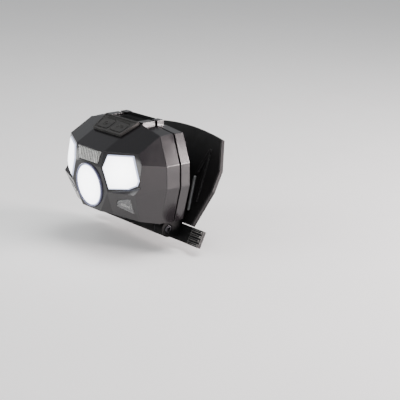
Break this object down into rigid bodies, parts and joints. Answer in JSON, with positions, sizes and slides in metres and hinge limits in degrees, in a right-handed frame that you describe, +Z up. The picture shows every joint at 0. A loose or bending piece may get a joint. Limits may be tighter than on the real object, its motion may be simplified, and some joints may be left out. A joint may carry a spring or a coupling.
{
  "type": "firefighter flashlight",
  "caption": "Faceted helmet lamp with a round spot light, side floods and top keys, tilting on a shield mount that slides into a helmet shroud.",
  "frame": {"origin": "middle of the back face of the foot that slides into the helmet's shroud", "axes": "+Z up as worn, the lamp shines towards -Y, +X is the wearer's left; the mount leans 27 degrees back, so its back face looks towards +Y and down"},
  "size_m": [0.0864, 0.0627, 0.0602],
  "materials": {
    "shell": "moulded, fine satin grain",
    "mount_plastic": "glass-filled nylon, matt",
    "shield": "glass-filled nylon, matt",
    "bezel": "polished ring",
    "clear": "clear polycarbonate",
    "frosted": "frosted polycarbonate with prisms",
    "steel": "stainless steel",
    "black_steel": "black oxide screws",
    "rubber": "silicone rubber",
    "reflector": "vapour-coated",
    "white_tray": "white reflective tray",
    "board": "printed circuit board",
    "led": "light emitter on a white board",
    "aluminium": "machined heat sink",
    "cell": "sleeved lithium cell",
    "port": "port shell"
  },
  "bodies": {
    "mount": {"shield_plate": "shield", "yoke": "mount_plastic", "yoke_screws": "black_steel", "shroud_foot": "mount_plastic", "foot_screws": "steel", "friction_washers": "rubber", "guard_bars": "steel", "release_springs": "steel"},
    "head": {"front_shell": "shell", "rear_shell": "shell", "hinge_lug": "mount_plastic", "spot_ring": "bezel", "spot_lens": "clear", "flood_lens_left": "clear", "flood_lens_right": "clear", "side_window_left": "frosted", "side_window_right": "frosted", "signal_window": "frosted", "flap_pin": "steel", "hinge_screws": "steel", "shell_screws": "black_steel", "lug_screws": "black_steel", "keypad": "rubber", "shell_gasket": "rubber", "spot_reflector": "reflector", "flood_tray_left": "white_tray", "flood_tray_right": "white_tray", "spot_led": "led", "flood_board_left": "led", "flood_board_right": "led", "side_led_left": "led", "side_led_right": "led", "signal_board": "led", "switch_board": "board", "driver_board": "board", "heatsink": "aluminium", "battery_cell": "cell", "battery_tray": "mount_plastic", "charge_port": "port"},
    "light_button": {"light_button": "rubber"},
    "sensor_button": {"sensor_button": "rubber"},
    "charge_flap": {"charge_flap": "mount_plastic"},
    "release_slider": {"release_slider": "mount_plastic"}
  },
  "joints": [
    {"name": "head_tilt", "type": "hinge", "parent": "mount", "child": "head", "pos_m": [0, -0.02464, -0.01499], "axis": [1, 0, 0], "range_deg": [0, 75]},
    {"name": "light_press", "type": "slide", "parent": "head", "child": "light_button", "axis": [0, 0.4591, -0.8884], "range_m": [0, 0.0008], "stiffness_N_per_m": 800, "springref_m": -0.0005},
    {"name": "sensor_press", "type": "slide", "parent": "head", "child": "sensor_button", "axis": [0, 0.4591, -0.8884], "range_m": [0, 0.0008], "stiffness_N_per_m": 800, "springref_m": -0.0005},
    {"name": "flap_hinge", "type": "hinge", "parent": "head", "child": "charge_flap", "pos_m": [0, -0.02094, 0.03617], "axis": [-1, 0, 0], "range_deg": [0, 110]},
    {"name": "release_slide", "type": "slide", "parent": "mount", "child": "release_slider", "axis": [0, -0.454, -0.891], "range_m": [0, 0.003], "stiffness_N_per_m": 600, "springref_m": -0.002, "deforming": ["release_springs"]}
  ]
}
